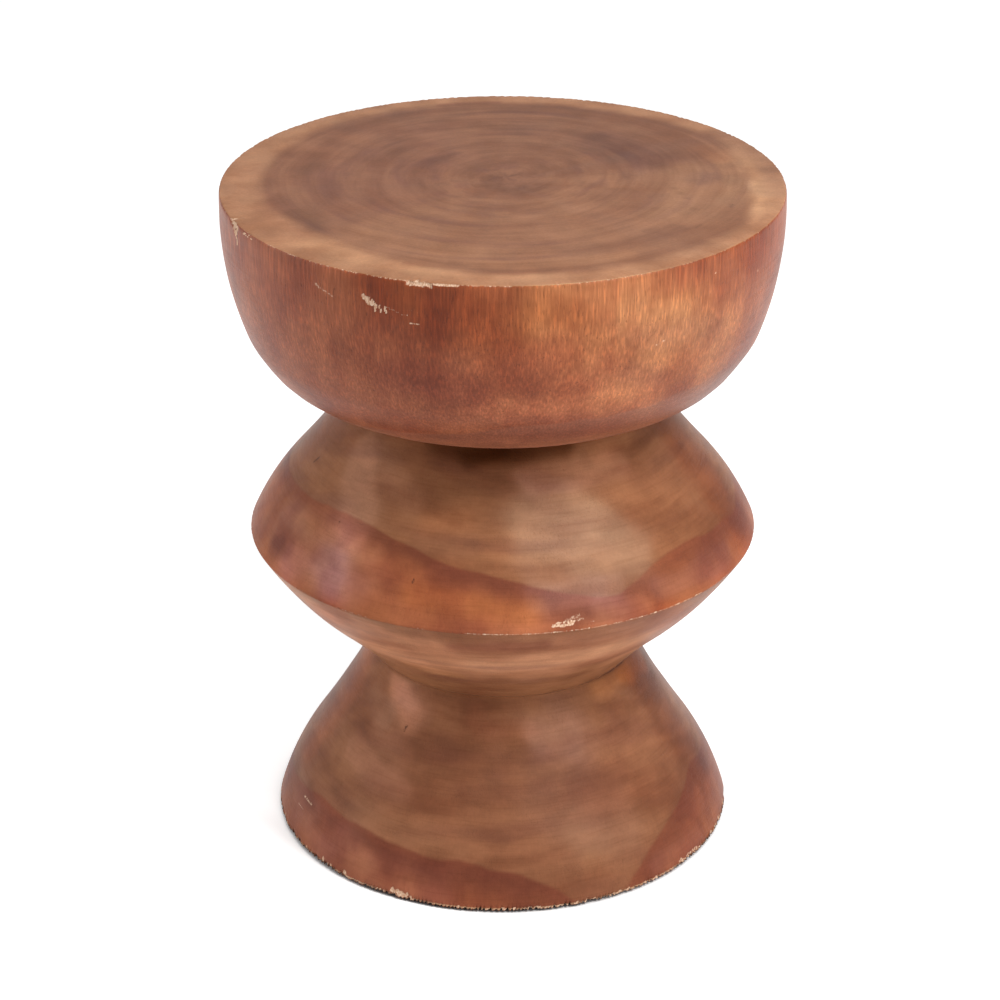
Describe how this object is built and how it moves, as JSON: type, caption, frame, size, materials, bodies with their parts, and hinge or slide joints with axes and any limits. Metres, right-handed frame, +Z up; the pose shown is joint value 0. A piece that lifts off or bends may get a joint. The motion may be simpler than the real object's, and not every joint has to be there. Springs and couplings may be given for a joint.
{
  "type": "stool",
  "caption": "Turned wooden stool: a round drum seat on a double-cone waist and a flared base, joined at two necks by hidden dowels, on felt floor pads.",
  "frame": {"origin": "on the floor, under the middle of the base", "axes": "+Z up along the turning axis, -Y towards the side that the picture shows"},
  "size_m": [0.3618, 0.3618, 0.45],
  "materials": {
    "seat_wood": "satin lacquer over brown heartwood and red-brown sapwood, end grain on top",
    "waist_wood": "satin lacquer over brown heartwood with a red-brown rim",
    "base_wood": "satin lacquer over brown heartwood with a red-brown foot edge",
    "dowel_wood": "plain planed beech",
    "pad_felt": "pressed felt",
    "tack_steel": "plain steel"
  },
  "bodies": {
    "root": {"seat_block": "seat_wood", "waist_block": "waist_wood", "base_block": "base_wood", "upper_dowel_1": "dowel_wood", "upper_dowel_2": "dowel_wood", "upper_dowel_3": "dowel_wood", "upper_dowel_4": "dowel_wood", "lower_dowel_1": "dowel_wood", "lower_dowel_2": "dowel_wood", "lower_dowel_3": "dowel_wood", "lower_dowel_4": "dowel_wood", "floor_pad_1": "pad_felt", "floor_pad_2": "pad_felt", "floor_pad_3": "pad_felt", "floor_pad_4": "pad_felt", "pad_tacks": "tack_steel"}
  },
  "joints": []
}
